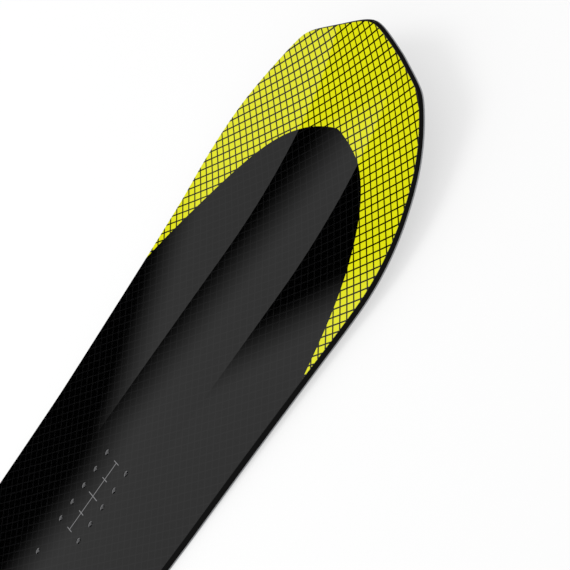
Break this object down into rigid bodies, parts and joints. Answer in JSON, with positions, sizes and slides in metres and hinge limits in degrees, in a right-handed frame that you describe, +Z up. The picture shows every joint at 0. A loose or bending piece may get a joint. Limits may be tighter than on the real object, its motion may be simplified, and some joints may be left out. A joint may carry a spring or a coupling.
{
  "type": "snowboard",
  "caption": "Snowboard with a blunt three-plane nose and tail, a laminated wood core, steel edges and threaded binding inserts.",
  "frame": {"origin": "middle of the board's length and width, on the floor plane that the running base rests on", "axes": "+X towards the nose, +Y towards the left edge, +Z up out of the deck"},
  "size_m": [1.5188, 0.299, 0.0648],
  "materials": {
    "topsheet": "glossy black with a yellow printed grid at nose and tail",
    "base": "waxed black sintered polyethylene with a fine ground structure",
    "sidewall": "sanded black plastic",
    "edge_steel": "ground steel",
    "insert_steel": "turned stainless steel",
    "rubber": "matte",
    "laminate": "glass fibre in clear resin",
    "dyed_laminate": "glass fibre in black resin",
    "core_wood": "planed",
    "spacer": "moulded"
  },
  "bodies": {
    "root": {"base_sheet": "base", "edge_left": "edge_steel", "edge_right": "edge_steel", "edge_rubber_left": "rubber", "edge_rubber_right": "rubber", "lower_glass": "laminate", "upper_glass": "dyed_laminate", "insert_pad_front": "laminate", "insert_pad_rear": "laminate", "inserts_front": "insert_steel", "inserts_rear": "insert_steel", "insert_stringer_left": "core_wood", "insert_stringer_right": "core_wood", "crease_stringer_left": "core_wood", "crease_stringer_right": "core_wood", "inner_stringer_left": "core_wood", "inner_stringer_right": "core_wood", "outer_stringer_left": "core_wood", "outer_stringer_right": "core_wood", "sidewall_left": "sidewall", "sidewall_right": "sidewall", "nose_spacer": "spacer", "tail_spacer": "spacer", "topsheet": "topsheet"}
  },
  "joints": []
}
